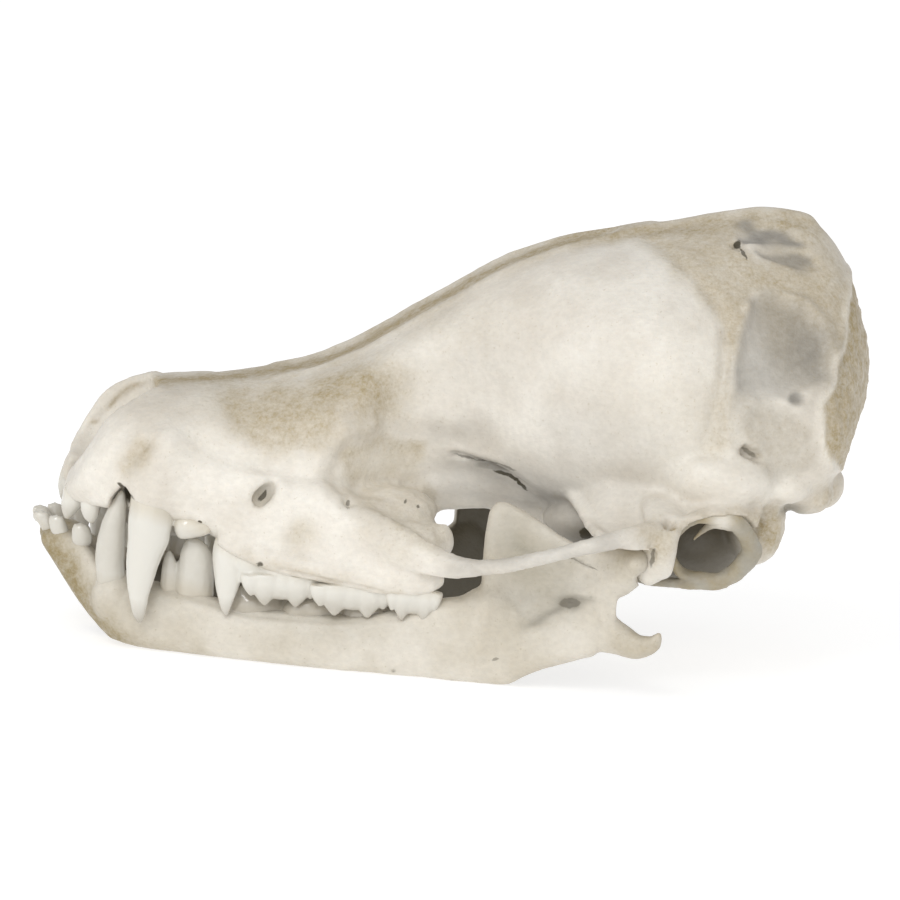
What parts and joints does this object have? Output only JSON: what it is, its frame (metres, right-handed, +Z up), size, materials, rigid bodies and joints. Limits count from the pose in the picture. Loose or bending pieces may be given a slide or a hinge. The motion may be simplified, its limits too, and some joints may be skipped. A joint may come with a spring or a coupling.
{
  "type": "bat skull",
  "caption": "Life-size skull of a large insect-eating bat, jaw nearly closed on its teeth, standing on its lower jaw as a still display piece.",
  "frame": {"origin": "middle of the skull's length and width, on the surface that the lower jaw rests on", "axes": "+X towards the back of the skull, +Y towards the skull's right, +Z up; the snout points to -X"},
  "size_m": [0.0286, 0.0176, 0.0162],
  "materials": {
    "dry_bone": "dry ivory bone, satin",
    "jaw_bone": "dry pale bone, satin",
    "ring_bone": "dry tan bone, satin"
  },
  "bodies": {
    "root": {"cranium": "dry_bone", "lower_jaw_left": "jaw_bone", "lower_jaw_right": "jaw_bone", "ear_ring_left": "ring_bone", "ear_ring_right": "ring_bone"}
  },
  "joints": []
}
